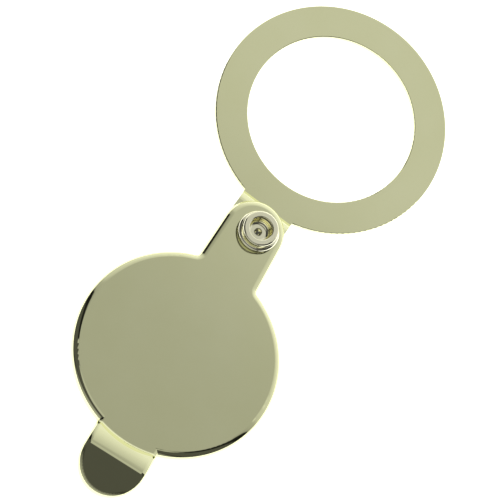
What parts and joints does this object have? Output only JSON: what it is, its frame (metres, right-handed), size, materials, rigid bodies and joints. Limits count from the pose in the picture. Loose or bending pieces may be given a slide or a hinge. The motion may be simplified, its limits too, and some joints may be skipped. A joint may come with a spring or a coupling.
{
  "type": "swing lens cover",
  "caption": "Flat metal ring with a dished round cover that swings over its hole on a hollow rivet, with a thumb tab.",
  "frame": {"origin": "centre of the ring's hole, on the ring's flat back face", "axes": "+Z out of the ring's front face, along the rivet's axis; +Y from the cover to the ring, with the cover open in line"},
  "size_m": [0.0544, 0.1337, 0.0086],
  "materials": {
    "plated_ring": "polished pale brass plate",
    "plated_cover": "polished pale brass plate",
    "plated_rivet": "polished brass plate",
    "spring_steel": "plain spring steel"
  },
  "bodies": {
    "ring": {"ring_plate": "plated_ring", "pivot_rivet": "plated_rivet", "rivet_collar": "plated_rivet", "spring_washer": "spring_steel", "spacer_bush": "plated_rivet"},
    "cover": {"cover_plate": "plated_cover"}
  },
  "joints": [
    {"name": "cover_swing", "type": "hinge", "parent": "ring", "child": "cover", "pos_m": [0, -0.0347, 0.0045], "axis": [0, 0, 1], "continuous": true}
  ]
}
